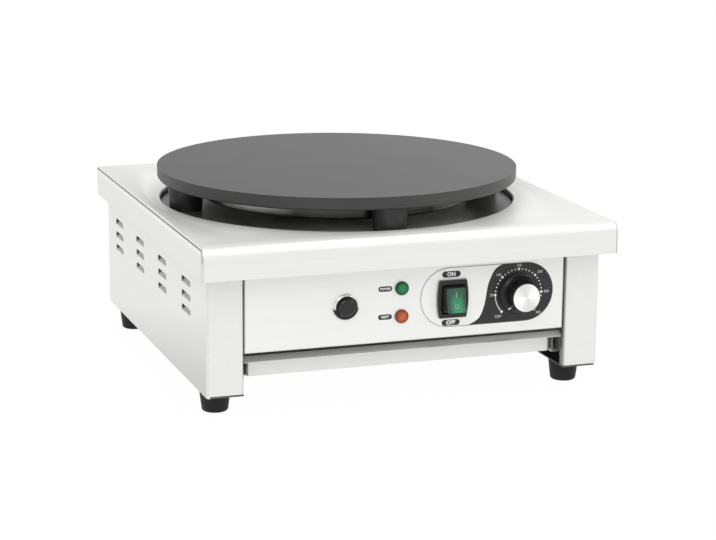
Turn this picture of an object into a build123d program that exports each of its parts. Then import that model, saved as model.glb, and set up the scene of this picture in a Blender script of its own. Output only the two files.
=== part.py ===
from build123d import *
import math
import os

os.makedirs("parts", exist_ok=True)

# Single-plate electric crepe maker. Millimetres, +Z up, the user's side is -Y.
# The origin is on the surface that the feet stand on, under the middle of the cover.

# ------------------------------------------------------------------ driving dimensions
sheet = 1.2                     # stainless sheet of every folded piece
bend_radius = 3.0               # outside radius of the folds
fit = 0.3                       # gap between pieces that are slid together
running = 0.05                  # radial play of a shaft in its bush

# Griddle plate
plate_diameter = 400.0
plate_thickness = 14.2
plate_edge_radius = 4.3
plate_chamfer = 1.3
plate_recess_inset = 5.0        # wall of the heater bowl to the recess in the plate
plate_recess_depth = 4.0

# Cover, measured out from the plate
side_margin = 25.0
front_margin = 55.0
rear_margin = 15.0
skirt_height = 33.0
roll_radius = 9.0               # round roll along the front edge
cover_fold_radius = 2.0         # its other folds
dish_drop = 5.5                 # the top falls this much towards the opening
dish_border = 3.0               # flat border along the sides and the rear
dish_front_border = 12.0        # flat border behind the roll
plate_overlap = 3.0             # the plate overhangs the opening
lip_depth = 4.0
lip_radius = 1.8
ring_width = 4.5                # flat ring round the opening

# Drip well under the plate
well_gap = 1.3                  # lip of the cover to the wall of the well
well_depth = 6.5
well_flange = 5.0
cable_hole_radius = 28.0

# Posts and chassis
post_height = 28.0
post_diameter = 40.0            # at the plate
post_foot_diameter = 35.0       # at the floor of the well
post_inset = 26.0               # edge of the plate to the centre of a post
bolt_diameter = 8.0
bolt_head_width = 13.0
bolt_head_height = 5.5
beam_width = 36.0
beam_depth = 22.0

# Heater
bowl_gap = 1.5                  # bowl to the posts
bowl_height = 19.0
bowl_sheet = 1.0
bowl_bend = 4.0
element_diameter = 8.5
element_bowl_gap = 26.5         # wall of the bowl to the outer turn
element_spacing = 38.0          # outer turn to inner turn
element_sweep = 300.0
element_start = -60.0
terminal_diameter = 6.0
terminal_drop = 24.0
terminal_hole_diameter = 12.0
strap_width = 24.0
strap_thickness = 2.0
strap_overhang = 10.0           # beyond the outer turn
bulb_diameter = 6.0
bulb_length = 90.0
bulb_offset = 42.0

# Body under the cover
side_overhang = 9.7
front_overhang = 22.6
rear_overhang = 12.0
leg_width = 38.6
leg_return = 9.0
rear_flange = 20.0
rear_return = 9.0
top_flange = 12.0
slot_length = 36.0
slot_width = 7.5
slot_columns = 4
slot_rows = 3
slot_pitch_y = 98.9
slot_pitch_z = 15.2
slot_setback = 10.3             # behind the middle of the body
slot_rise = 88.9                # underside of the body to the middle row
louvre_angle = 35.0             # tabs bent inwards from the lower edges of the slots

# Feet
foot_height = 24.5
foot_bottom_diameter = 27.0
foot_top_diameter = 33.0
foot_edge_radius = 3.0
foot_recess_diameter = 13.0
foot_recess_depth = 11.0
foot_side_inset = 19.5          # outside of the body to the centre of a foot
foot_front_inset = 41.4
foot_rear_inset = 42.0
foot_screw_diameter = 5.0
foot_screw_head = 10.0
foot_screw_head_height = 3.0
foot_nut_width = 8.0
foot_nut_height = 4.0

# Crumb tray and its runners
tray_raise = 14.4               # underside of the body to the tray
tray_depth = 24.7
tray_headroom = 3.9             # rim of the tray to the control panel
tray_setback = 18.4             # front wall of the tray behind the legs
tray_rear_gap = 22.0
tray_corner = 3.0
tray_fold_radius = 2.0
lip_side_gap = 1.2              # lip to the leg on each side
lip_overlap = 7.0               # lip beyond the wall of the tray
lip_flat = 9.0
lip_slope_drop = 5.6
lip_hem = 2.2
rail_width = 5.1
rail_height = 16.7
runner_play = 7.2               # rail to the web of the runner
runner_ledge = 9.8
runner_flange = 14.0
tray_travel = 300.0
rail_play = 0.3

# Control panel
panel_height = 103.3
panel_recess = 1.4              # panel behind the faces of the legs
panel_side_gap = 1.0
panel_return = 21.0
panel_side_return = 7.5
base_flange = 12.0
control_rise = 42.1             # lower edge of the panel to the line of the controls
legend_length = 149.9
legend_height = 64.0
legend_thickness = 0.4
legend_rise = 1.4
dial_to_legend = 35.2

# Thermostat and knob
dial_inset = 52.5               # right end of the panel to the dial
knob_skirt_diameter = 44.0
knob_waist_diameter = 32.0
knob_length = 23.3
knob_skirt_height = 2.0
knob_flare_height = 9.0
knob_clearance = 0.5
cap_diameter = 29.6
cap_thickness = 2.4
cap_proud = 1.2
cap_edge_radius = 0.8
shaft_diameter = 6.0
shaft_in_knob = 15.0
shaft_in_thermostat = 10.0
bush_diameter = 8.8
thermostat_width = 36.0
thermostat_depth = 28.0

# Mains switch
dial_to_switch = 74.5
bezel_width = 29.5
bezel_height = 40.0
bezel_bulge = 2.2
bezel_thickness = 4.0
bezel_edge = 1.0
rocker_width = 24.0
rocker_height = 30.0
rocker_front = 10.0
rocker_dip = 1.6
rocker_back = 3.0
rocker_tilt = 8.0               # each way from the middle
rocker_gap = 0.6
rocker_window_width = 18.5
rocker_window_height = 23.0
rocker_window_thickness = 1.6
switch_body_depth = 26.0
switch_wall = 1.2

# Signal lamps
switch_to_lamps = 55.9
lamp_spread = 29.7
lamp_diameter = 14.5
lamp_rim = 1.4
lamp_height = 3.6
lamp_body_diameter = 12.0
lamp_body_depth = 20.0

# Reset button of the safety cut-out
lamps_to_reset = 61.0
reset_ring_diameter = 27.5
reset_ring_height = 4.2
reset_ring_round = 3.0
reset_diameter = 19.6
reset_gap = 0.3
reset_protrusion = 8.0
reset_dome = 4.5
reset_travel = 3.0
reset_stem_diameter = 7.0
limiter_diameter = 34.0
limiter_depth = 22.0
limiter_neck = 14.0

# Cord entry and wiring
gland_inset = 85.3              # side of the body to the gland
gland_rise = 30.1               # base plate to the gland
gland_hex = 22.0
gland_hex_height = 5.0
gland_protrusion = 11.0
gland_neck_diameter = 17.0
gland_thread_diameter = 18.0
gland_thread_length = 9.0
gland_nut_height = 4.0
gland_bore = 8.0
gland_tip_radius = 1.8
block_length = 48.0
block_width = 20.0
block_height = 18.0
block_hole = 5.0

# ------------------------------------------------------------------------ worked out
plate_radius = plate_diameter / 2
plate_y = (front_margin - rear_margin) / 2
cover_half_width = plate_radius + side_margin
cover_half_depth = plate_radius + (front_margin + rear_margin) / 2
opening_radius = plate_radius - plate_overlap
body_half_width = cover_half_width - side_overhang
body_front = -cover_half_depth + front_overhang
body_rear = cover_half_depth - rear_overhang
leg_inner = body_half_width - leg_width
post_circle = plate_radius - post_inset
bowl_radius = post_circle - post_diameter / 2 - bowl_gap
recess_radius = bowl_radius - plate_recess_inset
element_outer_radius = bowl_radius - element_bowl_gap
element_inner_radius = element_outer_radius - element_spacing
strap_length = 2 * (element_outer_radius + strap_overhang)

body_bottom = foot_height
tray_bottom = body_bottom + tray_raise
tray_top = tray_bottom + tray_depth
panel_bottom = tray_top + tray_headroom
base_bottom = panel_bottom + sheet
base_top = base_bottom + sheet
chassis_top = panel_bottom + panel_height
well_floor = chassis_top + sheet
ring_underside = chassis_top + well_depth
opening_z = ring_underside + sheet
cover_top = opening_z + dish_drop
skirt_bottom = cover_top - skirt_height
plate_bottom = well_floor + post_height
plate_top = plate_bottom + plate_thickness
recess_z = plate_bottom + plate_recess_depth

panel_front = body_front + panel_recess
panel_back = panel_front + sheet
panel_half_width = leg_inner - panel_side_gap
control_z = panel_bottom + control_rise
dial_x = panel_half_width - dial_inset
legend_x = dial_x - dial_to_legend
switch_x = dial_x - dial_to_switch
lamp_x = switch_x - switch_to_lamps
reset_x = lamp_x - lamps_to_reset
gland_x = body_half_width - gland_inset
gland_z = base_top + gland_rise
slot_centre_y = (body_front + body_rear) / 2 + slot_setback
slot_centre_z = body_bottom + slot_rise
legend_front = panel_front - legend_thickness
rear_panel_back = body_rear - sheet
rear_panel_front = rear_panel_back - sheet
beam_half_length = body_half_width - sheet - fit
flange_edge = body_half_width - top_flange - fit
post_places = [
    (post_circle * math.cos(turn), plate_y + post_circle * math.sin(turn))
    for turn in (math.radians(-90), 0.0, math.radians(90), math.radians(180))
]
post_names = ["post_front", "post_right", "post_rear", "post_left"]


def save(piece, name):
    """Labels a finished piece and writes it to its own file."""
    piece.part.label = name
    export_step(piece.part, f"parts/{name}.step")


def bent_sheet(points, side, radius=bend_radius):
    """Bent sheet seen end on: a path with rounded folds, thickened to one side."""
    with BuildSketch() as section:
        with BuildLine():
            if radius > 0:
                FilletPolyline(*points, radius=radius)
            else:
                Polyline(*points)
            offset(amount=sheet, side=side)
        make_face()
    return section.sketch


def turning_plane(x, y, z):
    """Plane for the half section of a piece turned about a line along Y: (radius, depth)."""
    return Plane(origin=(x, y, z), x_dir=(1, 0, 0), z_dir=(0, 0, 1))


def depth_axis(x, z):
    """Line along Y through a control on the panel."""
    return Axis((x, 0, z), (0, 1, 0))


plate_axis = Axis((0, plate_y, 0), (0, 0, 1))
plate_section = Plane.XZ.offset(-plate_y)
panel_face = Plane.XZ.offset(-panel_front)

# ------------------------------------------------------------------------- top cover
# One folded sheet: straight skirts, a round roll along the front and a top that is
# dished from the straight folds down to the round opening, where its lip turns down.
dish_front = -cover_half_depth + roll_radius + dish_front_border
dish_rear = cover_half_depth - dish_border
dish_side = cover_half_width - dish_border
ring_radius = opening_radius + ring_width
dish_corners = [
    (dish_side, dish_front),
    (dish_side, dish_rear),
    (-dish_side, dish_rear),
    (-dish_side, dish_front),
]
dish_turns = [math.degrees(math.atan2(y - plate_y, x)) for x, y in dish_corners]
dish_arcs = list(zip(dish_turns, dish_turns[1:] + dish_turns[:1]))

with BuildPart() as top_cover:
    with BuildSketch(Plane.XY.offset(skirt_bottom)):
        Rectangle(2 * cover_half_width, 2 * cover_half_depth)
    extrude(amount=skirt_height)
    top_edges = top_cover.faces().sort_by(Axis.Z)[-1].edges()
    fillet(top_edges.sort_by(Axis.Y)[0], radius=roll_radius)
    side_faces = top_cover.faces().filter_by(Axis.X).sort_by(Axis.X)
    side_folds = [e for face in side_faces for e in face.edges() if e.center().Z > skirt_bottom]
    rear_fold = top_cover.edges().filter_by(Axis.X).group_by(Axis.Z)[-1].sort_by(Axis.Y)[-1]
    fillet(side_folds + [rear_fold], radius=cover_fold_radius)
    underside = top_cover.faces().sort_by(Axis.Z)[0]
    offset(amount=-sheet, openings=underside, kind=Kind.INTERSECTION)
    for level, how in ((cover_top - sheet, Mode.ADD), (cover_top, Mode.SUBTRACT)):
        with BuildSketch(Plane.XY.offset(level)):
            with BuildLine():
                Polyline(*dish_corners, close=True)
            make_face()
        with BuildSketch(Plane.XY.offset(level - dish_drop)):
            with BuildLine():
                for here, after in dish_arcs:
                    CenterArc((0, plate_y), ring_radius, here, (after - here) % 360)
            make_face()
        loft(ruled=True, mode=how)
    with BuildSketch(Plane.XY.offset(opening_z)):
        with Locations((0, plate_y)):
            Circle(opening_radius + sheet)
    extrude(amount=-lip_depth)
    with BuildSketch(Plane.XY.offset(opening_z)):
        with Locations((0, plate_y)):
            Circle(opening_radius)
    extrude(amount=2 * lip_depth, both=True, mode=Mode.SUBTRACT)
    mouth = (
        top_cover.edges()
        .filter_by(GeomType.CIRCLE)
        .filter_by(lambda e: abs(e.radius - opening_radius) < 0.01)
        .group_by(Axis.Z)[-1]
    )
    fillet(mouth, radius=lip_radius)
save(top_cover, "top_cover")

# ------------------------------------------------------------------------- drip well
# A flanged ring hangs from the cover and stands on a flat floor under the opening.
well_wall = opening_radius + sheet + well_gap
well_outer = well_wall + sheet
with BuildPart() as drip_well:
    with BuildSketch(plate_section):
        add(
            bent_sheet(
                [
                    (well_outer, well_floor),
                    (well_outer, ring_underside - sheet),
                    (well_outer + well_flange, ring_underside - sheet),
                ],
                Side.LEFT,
                radius=bend_radius - sheet,
            )
        )
    revolve(axis=plate_axis)
save(drip_well, "drip_well")

with BuildPart() as well_base:
    with BuildSketch(Plane.XY.offset(chassis_top)):
        with Locations((0, plate_y)):
            Circle(well_outer)
            Circle(cable_hole_radius, mode=Mode.SUBTRACT)
        with Locations(*post_places):
            Circle(bolt_diameter / 2 + fit, mode=Mode.SUBTRACT)
    extrude(amount=sheet)
save(well_base, "well_base")

# ----------------------------------------------------------------------- side panels
def louvre_plane(hinge_z):
    """Plane of the tabs that are bent inwards from the lower edges of a row of slots."""
    turn = math.radians(louvre_angle)
    return Plane(
        origin=(body_half_width, 0, hinge_z),
        x_dir=(0, 1, 0),
        z_dir=(math.cos(turn), 0, math.sin(turn)),
    )


with BuildPart() as side_panel_right:
    with BuildSketch(Plane.XY.offset(body_bottom)):
        add(
            bent_sheet(
                [
                    (leg_inner, body_front + leg_return),
                    (leg_inner, body_front),
                    (body_half_width, body_front),
                    (body_half_width, body_rear),
                    (body_half_width - rear_flange, body_rear),
                ],
                Side.LEFT,
            )
        )
    extrude(amount=chassis_top - body_bottom)
    for level, width in ((body_bottom, leg_width), (chassis_top - sheet, top_flange)):
        with BuildSketch(Plane.XY.offset(level)) as flange:
            with BuildLine():
                Polyline(
                    (body_half_width - width, body_front),
                    (body_half_width, body_front),
                    (body_half_width, body_rear),
                    (body_half_width - width, body_rear),
                    close=True,
                )
            make_face()
            fillet(flange.vertices().group_by(Axis.X)[-1], radius=bend_radius)
        extrude(amount=sheet)
    with BuildSketch(Plane.YZ.offset(body_half_width)):
        with Locations((slot_centre_y, slot_centre_z)):
            with GridLocations(slot_pitch_y, slot_pitch_z, slot_columns, slot_rows):
                SlotOverall(slot_length, slot_width)
    extrude(amount=-2 * sheet, mode=Mode.SUBTRACT)
    for row in range(slot_rows):
        hinge_z = slot_centre_z + (row - (slot_rows - 1) / 2) * slot_pitch_z - slot_width / 2
        with BuildSketch(louvre_plane(hinge_z)):
            with Locations((slot_centre_y, slot_width / 2)):
                with GridLocations(slot_pitch_y, 1, slot_columns, 1):
                    SlotOverall(slot_length, slot_width)
        extrude(amount=-sheet)
    with BuildSketch(Plane.XY.offset(body_bottom)):
        with Locations(
            (body_half_width - foot_side_inset, body_front + foot_front_inset),
            (body_half_width - foot_side_inset, body_rear - foot_rear_inset),
        ):
            Circle(foot_screw_diameter / 2 + fit)
    extrude(amount=sheet, mode=Mode.SUBTRACT)
save(side_panel_right, "side_panel_right")

with BuildPart() as side_panel_left:
    mirror(side_panel_right.part, about=Plane.YZ)
save(side_panel_left, "side_panel_left")

# ------------------------------------------------------------------------ rear panel
rear_panel_bottom = base_top
rear_panel_top = chassis_top - sheet
with BuildPart() as rear_panel:
    with BuildSketch(Plane.YZ):
        add(
            bent_sheet(
                [
                    (rear_panel_back - panel_return, rear_panel_bottom),
                    (rear_panel_back, rear_panel_bottom),
                    (rear_panel_back, rear_panel_top),
                    (rear_panel_back - rear_return, rear_panel_top),
                ],
                Side.LEFT,
            )
        )
    extrude(amount=body_half_width - rear_flange / 2, both=True)
    with BuildSketch(Plane.XZ.offset(-rear_panel_back)):
        with Locations((0, slot_centre_z)):
            with GridLocations(slot_pitch_z * 3, slot_pitch_z, slot_columns, slot_rows):
                SlotOverall(slot_length, slot_width)
        with Locations((gland_x, gland_z)):
            Circle(gland_thread_diameter / 2 + fit)
    extrude(amount=2 * sheet, both=True, mode=Mode.SUBTRACT)
save(rear_panel, "rear_panel")

# --------------------------------------------------------------------- control panel
lamp_places = [(lamp_x, control_z + lamp_spread / 2), (lamp_x, control_z - lamp_spread / 2)]
switch_hole_width = rocker_width + 2 * switch_wall + 2 * rocker_gap
switch_hole_height = rocker_height + 2 * switch_wall + 2 * rocker_gap
with BuildPart() as control_panel:
    with BuildSketch(Plane.XZ.offset(-panel_front - panel_return)):
        with Locations((0, panel_bottom)):
            Rectangle(2 * panel_half_width, panel_height, align=(Align.CENTER, Align.MIN))
    extrude(amount=panel_return)
    fillet(control_panel.faces().sort_by(Axis.Y)[0].edges(), radius=bend_radius)
    opening = control_panel.faces().sort_by(Axis.Y)[-1]
    offset(amount=-sheet, openings=opening)
    with BuildSketch(Plane.XZ.offset(-panel_front - panel_return)):
        with Locations((0, panel_bottom + sheet)):
            Rectangle(
                2 * panel_half_width, panel_height - 2 * sheet, align=(Align.CENTER, Align.MIN)
            )
    extrude(amount=panel_return - panel_side_return, mode=Mode.SUBTRACT)
    with BuildSketch(panel_face):
        with Locations((dial_x, control_z)):
            Circle(bush_diameter / 2 + fit)
        with Locations((switch_x, control_z)):
            Rectangle(switch_hole_width + fit, switch_hole_height + fit)
        with Locations(*lamp_places):
            Circle(lamp_body_diameter / 2 + fit)
        with Locations((reset_x, control_z)):
            Circle(limiter_neck / 2 + fit)
    extrude(amount=2 * sheet, both=True, mode=Mode.SUBTRACT)
save(control_panel, "control_panel")

# ------------------------------------------------------------------------ base plate
base_half_width = body_half_width - sheet - fit
base_front = body_front + leg_return + fit
base_rear = rear_panel_front - fit
with BuildPart() as base_plate:
    with BuildSketch(Plane.XZ.offset(-base_front)):
        add(
            bent_sheet(
                [
                    (-base_half_width, base_bottom + base_flange),
                    (-base_half_width, base_bottom),
                    (base_half_width, base_bottom),
                    (base_half_width, base_bottom + base_flange),
                ],
                Side.LEFT,
            )
        )
    extrude(amount=base_front - base_rear)
save(base_plate, "base_plate")

# ---------------------------------------------------------------------- cross beams
def cross_beam(y):
    """Channel across the body: its lowered ends lie under the flanges of the side panels."""
    with BuildPart() as beam:
        with BuildSketch(Plane.YZ):
            add(
                bent_sheet(
                    [
                        (y - beam_width / 2, chassis_top - beam_depth),
                        (y - beam_width / 2, chassis_top),
                        (y + beam_width / 2, chassis_top),
                        (y + beam_width / 2, chassis_top - beam_depth),
                    ],
                    Side.RIGHT,
                )
            )
        extrude(amount=flange_edge, both=True)
        with BuildSketch(Plane.XY.offset(chassis_top - 2 * sheet)):
            with Locations((0, y)):
                Rectangle(2 * beam_half_length, beam_width - 2 * bend_radius)
                Rectangle(2 * (flange_edge - sheet), beam_width, mode=Mode.SUBTRACT)
        extrude(amount=sheet)
        with BuildSketch(Plane.XY.offset(chassis_top)):
            with Locations(*post_places):
                Circle(bolt_diameter / 2 + fit)
        extrude(amount=-2 * sheet, mode=Mode.SUBTRACT)
    return beam


beam_rows = {
    "cross_beam_front": plate_y - post_circle,
    "cross_beam_middle": plate_y,
    "cross_beam_rear": plate_y + post_circle,
}
for name, row in beam_rows.items():
    save(cross_beam(row), name)

# -------------------------------------------------------------------------- the feet
foot_places = {
    "foot_front_left": (-1, body_front + foot_front_inset),
    "foot_front_right": (1, body_front + foot_front_inset),
    "foot_rear_left": (-1, body_rear - foot_rear_inset),
    "foot_rear_right": (1, body_rear - foot_rear_inset),
}
foot_x = body_half_width - foot_side_inset
foot_centres = [(side * foot_x, y) for side, y in foot_places.values()]
head_z = foot_recess_depth - foot_screw_head_height


def rubber_foot(x, y):
    """Tapered bumper with a recess for the head of its screw."""
    with BuildPart() as foot:
        with BuildSketch(Plane.XZ.offset(-y)) as half:
            with BuildLine():
                Polyline(
                    (x, 0),
                    (x + foot_bottom_diameter / 2, 0),
                    (x + foot_top_diameter / 2, foot_height),
                    (x, foot_height),
                    close=True,
                )
            make_face()
        revolve(axis=Axis((x, y, 0), (0, 0, 1)))
        bottom_edge = foot.edges().filter_by(GeomType.CIRCLE).sort_by(Axis.Z)[0]
        fillet(bottom_edge, radius=foot_edge_radius)
        with BuildSketch(Plane.XY):
            with Locations((x, y)):
                Circle(foot_recess_diameter / 2)
        extrude(amount=foot_recess_depth, mode=Mode.SUBTRACT)
        with BuildSketch(Plane.XY):
            with Locations((x, y)):
                Circle(foot_screw_diameter / 2 + fit)
        extrude(amount=foot_height, mode=Mode.SUBTRACT)
    return foot


for name, (side, y) in foot_places.items():
    save(rubber_foot(side * foot_x, y), name)

with BuildPart() as foot_screws:
    with BuildSketch(Plane.XY.offset(head_z)):
        with Locations(*foot_centres):
            Circle(foot_screw_head / 2)
    extrude(amount=foot_screw_head_height)
    with BuildSketch(Plane.XY.offset(foot_recess_depth)):
        with Locations(*foot_centres):
            Circle(foot_screw_diameter / 2)
    extrude(amount=body_bottom + sheet + foot_nut_height - foot_recess_depth)
save(foot_screws, "foot_screws")

with BuildPart() as foot_nuts:
    with BuildSketch(Plane.XY.offset(body_bottom + sheet)):
        with Locations(*foot_centres):
            RegularPolygon(foot_nut_width / 2, 6, major_radius=False)
            Circle(foot_screw_diameter / 2 + running, mode=Mode.SUBTRACT)
    extrude(amount=foot_nut_height)
save(foot_nuts, "foot_nuts")

# -------------------------------------------------------------------- griddle plate
with BuildPart() as griddle_plate:
    with BuildSketch(plate_section) as plate_half:
        with BuildLine():
            Polyline(
                (0, recess_z),
                (recess_radius, recess_z),
                (recess_radius, plate_bottom),
                (plate_radius, plate_bottom),
                (plate_radius, plate_top),
                (0, plate_top),
                close=True,
            )
        make_face()
        rim = plate_half.vertices().group_by(Axis.X)[-1].sort_by(Axis.Z)
        fillet(rim[-1], radius=plate_edge_radius)
        chamfer(rim[0], length=plate_chamfer)
    revolve(axis=plate_axis)
save(griddle_plate, "griddle_plate")

# ----------------------------------------------------------------------------- posts
for name, (x, y) in zip(post_names, post_places):
    with BuildPart() as post:
        with BuildSketch(Plane.XZ.offset(-y)):
            with BuildLine():
                Polyline(
                    (x + bolt_diameter / 2 + fit, well_floor),
                    (x + post_foot_diameter / 2, well_floor),
                    (x + post_diameter / 2, plate_bottom),
                    (x + bolt_diameter / 2 + fit, plate_bottom),
                    close=True,
                )
            make_face()
        revolve(axis=Axis((x, y, 0), (0, 0, 1)))
    save(post, name)

with BuildPart() as post_bolts:
    with BuildSketch(Plane.XY.offset(chassis_top - sheet - bolt_head_height)):
        with Locations(*post_places):
            RegularPolygon(bolt_head_width / 2, 6, major_radius=False)
    extrude(amount=bolt_head_height)
    with BuildSketch(Plane.XY.offset(chassis_top - sheet)):
        with Locations(*post_places):
            Circle(bolt_diameter / 2)
    extrude(amount=plate_bottom - chassis_top + sheet)
save(post_bolts, "post_bolts")

# -------------------------------------------------------------------------- heater
bowl_bottom = plate_bottom - bowl_height
bowl_floor = bowl_bottom + bowl_sheet
element_z = recess_z - fit - element_diameter / 2
strap_top = element_z - element_diameter / 2 - fit
strap_bottom = strap_top - strap_thickness
element_end = element_start + element_sweep
element_middle = (element_outer_radius + element_inner_radius) / 2
element_bend = (element_outer_radius - element_inner_radius) / 2


def round_plate(radius, turn, along=0.0):
    """Point at a radius and an angle about the middle of the plate, moved along its circle."""
    angle = math.radians(turn)
    return (
        radius * math.cos(angle) - along * math.sin(angle),
        plate_y + radius * math.sin(angle) + along * math.cos(angle),
        element_z,
    )


terminal_places = [
    round_plate(radius, element_start)[:2]
    for radius in (element_outer_radius, element_inner_radius)
]

with BuildPart() as heater_bowl:
    with BuildSketch(plate_section) as bowl_half:
        with BuildLine():
            FilletPolyline(
                (0, bowl_bottom),
                (bowl_radius, bowl_bottom),
                (bowl_radius, plate_bottom),
                radius=bowl_bend,
            )
            Line((bowl_radius, plate_bottom), (bowl_radius - bowl_sheet, plate_bottom))
            FilletPolyline(
                (bowl_radius - bowl_sheet, plate_bottom),
                (bowl_radius - bowl_sheet, bowl_floor),
                (0, bowl_floor),
                radius=bowl_bend - bowl_sheet,
            )
            Line((0, bowl_floor), (0, bowl_bottom))
        make_face()
    revolve(axis=plate_axis)
    with BuildSketch(Plane.XY.offset(bowl_bottom)):
        with Locations((0, plate_y)):
            Circle(bolt_diameter / 2 + fit)
        with Locations(*terminal_places):
            Circle(terminal_hole_diameter / 2)
    extrude(amount=bowl_sheet, mode=Mode.SUBTRACT)
save(heater_bowl, "heater_bowl")

with BuildPart() as insulation_pad:
    with BuildSketch(Plane.XY.offset(bowl_floor)):
        with Locations((0, plate_y)):
            Circle(bowl_radius - bowl_bend)
            Circle(bolt_diameter / 2 + fit, mode=Mode.SUBTRACT)
        with Locations(*terminal_places):
            Circle(terminal_hole_diameter / 2, mode=Mode.SUBTRACT)
    extrude(amount=strap_bottom - bowl_floor)
save(insulation_pad, "insulation_pad")

with BuildPart() as heating_element:
    with BuildLine() as element_path:
        outer_turn = CenterArc(
            (0, plate_y, element_z), element_outer_radius, element_start, element_sweep
        )
        ThreePointArc(
            round_plate(element_outer_radius, element_end),
            round_plate(element_middle, element_end, along=element_bend),
            round_plate(element_inner_radius, element_end),
        )
        CenterArc((0, plate_y, element_z), element_inner_radius, element_end, -element_sweep)
    with BuildSketch(Plane(outer_turn @ 0, z_dir=outer_turn % 0)):
        Circle(element_diameter / 2)
    sweep(path=element_path.wires()[0])
    with BuildSketch(Plane.XY.offset(element_z)):
        with Locations(*terminal_places):
            Circle(terminal_diameter / 2)
    extrude(amount=-terminal_drop)
save(heating_element, "heating_element")

with BuildPart() as element_strap:
    with BuildSketch(Plane.XY.offset(strap_bottom)):
        with Locations((0, plate_y)):
            SlotOverall(strap_length, strap_width)
            SlotOverall(strap_length, strap_width, rotation=90)
            Circle(bolt_diameter / 2 + fit, mode=Mode.SUBTRACT)
    extrude(amount=strap_thickness)
save(element_strap, "element_strap")

with BuildPart() as bowl_stud:
    with BuildSketch(Plane.XY.offset(bowl_bottom - bolt_head_height)):
        with Locations((0, plate_y)):
            RegularPolygon(bolt_head_width / 2, 6, major_radius=False)
    extrude(amount=bolt_head_height)
    with BuildSketch(Plane.XY.offset(bowl_bottom)):
        with Locations((0, plate_y)):
            Circle(bolt_diameter / 2)
    extrude(amount=recess_z - bowl_bottom)
save(bowl_stud, "bowl_stud")

with BuildPart() as thermostat_bulb:
    bulb_plane = Plane.YZ.offset(-bulb_length / 2)
    with BuildSketch(bulb_plane):
        with Locations((plate_y + bulb_offset, recess_z - fit - bulb_diameter / 2)):
            Circle(bulb_diameter / 2)
    extrude(amount=bulb_length)
    fillet(thermostat_bulb.edges().filter_by(GeomType.CIRCLE), radius=bulb_diameter / 3)
save(thermostat_bulb, "thermostat_bulb")

# ----------------------------------------------------------------------- crumb tray
tray_front = body_front + tray_setback
tray_rear = body_rear - tray_rear_gap
lip_half_width = leg_inner - lip_side_gap
tray_half_width = lip_half_width - lip_overlap
rail_outer = tray_half_width + rail_width
rail_bottom = tray_bottom + rail_play
rail_top = rail_bottom + rail_height
runner_web = rail_outer + runner_play
lip_toe_y = tray_front - lip_flat - lip_slope_drop + sheet
with BuildPart() as tray:
    with BuildSketch(Plane.XY.offset(tray_bottom)) as tray_plan:
        with BuildLine():
            Polyline(
                (-tray_half_width, tray_front),
                (tray_half_width, tray_front),
                (tray_half_width, tray_rear),
                (-tray_half_width, tray_rear),
                close=True,
            )
        make_face()
        fillet(tray_plan.vertices(), radius=tray_corner)
    extrude(amount=tray_depth)
    fillet(tray.faces().sort_by(Axis.Z)[0].edges(), radius=tray_fold_radius)
    with BuildSketch(Plane.XY.offset(tray_bottom + sheet)):
        add(offset(tray_plan.sketch_local, amount=-sheet, mode=Mode.PRIVATE))
    extrude(amount=tray_depth, mode=Mode.SUBTRACT)
    inner_floor = tray.faces().filter_by(Axis.Z).group_by(Axis.Z)[1].sort_by(SortBy.AREA)[-1]
    fillet(inner_floor.outer_wire().edges(), radius=tray_fold_radius - sheet)
    with BuildSketch(Plane.YZ):
        add(
            bent_sheet(
                [
                    (tray_front + sheet, tray_top),
                    (tray_front - lip_flat, tray_top),
                    (tray_front - lip_flat - lip_slope_drop, tray_top - lip_slope_drop),
                    (lip_toe_y + lip_hem, tray_top - lip_slope_drop - lip_hem / 2),
                ],
                Side.LEFT,
                radius=0,
            )
        )
    extrude(amount=lip_half_width, both=True)
    for side in (-1, 1):
        with BuildSketch(Plane.XZ.offset(-tray_front - tray_corner)):
            add(
                bent_sheet(
                    [
                        (side * tray_half_width, rail_top),
                        (side * rail_outer, rail_top),
                        (side * rail_outer, rail_bottom),
                        (side * tray_half_width, rail_bottom),
                    ],
                    Side.RIGHT if side > 0 else Side.LEFT,
                    radius=0,
                )
            )
        extrude(amount=-(tray_rear - tray_front - 2 * tray_corner))
save(tray, "tray")

# ------------------------------------------------------------------- tray runners
ledge_edge = runner_web - runner_ledge
with BuildPart() as tray_runner_right:
    with BuildSketch(Plane.XZ.offset(-tray_front)):
        add(
            bent_sheet(
                [
                    (ledge_edge, rail_bottom - rail_play - sheet),
                    (runner_web + sheet, rail_bottom - rail_play - sheet),
                    (runner_web + sheet, base_bottom - sheet),
                ],
                Side.LEFT,
            )
        )
        with Locations((ledge_edge, rail_top + rail_play)):
            Rectangle(runner_ledge + sheet / 2, sheet, align=(Align.MIN, Align.MIN))
        with Locations((runner_web, base_bottom - sheet)):
            Rectangle(runner_flange, sheet, align=(Align.MIN, Align.MIN))
    extrude(amount=tray_front - tray_rear)
save(tray_runner_right, "tray_runner_right")

with BuildPart() as tray_runner_left:
    mirror(tray_runner_right.part, about=Plane.YZ)
save(tray_runner_left, "tray_runner_left")

# --------------------------------------------------------------- legend on the panel
with BuildPart() as legend_plate:
    with BuildSketch(panel_face):
        with Locations((legend_x, control_z + legend_rise)):
            SlotOverall(legend_length, legend_height)
        with Locations((dial_x, control_z)):
            Circle(bush_diameter / 2 + fit, mode=Mode.SUBTRACT)
        with Locations((switch_x, control_z)):
            Rectangle(
                switch_hole_width + fit, switch_hole_height + fit, mode=Mode.SUBTRACT
            )
    extrude(amount=legend_thickness)
save(legend_plate, "legend_plate")

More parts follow.
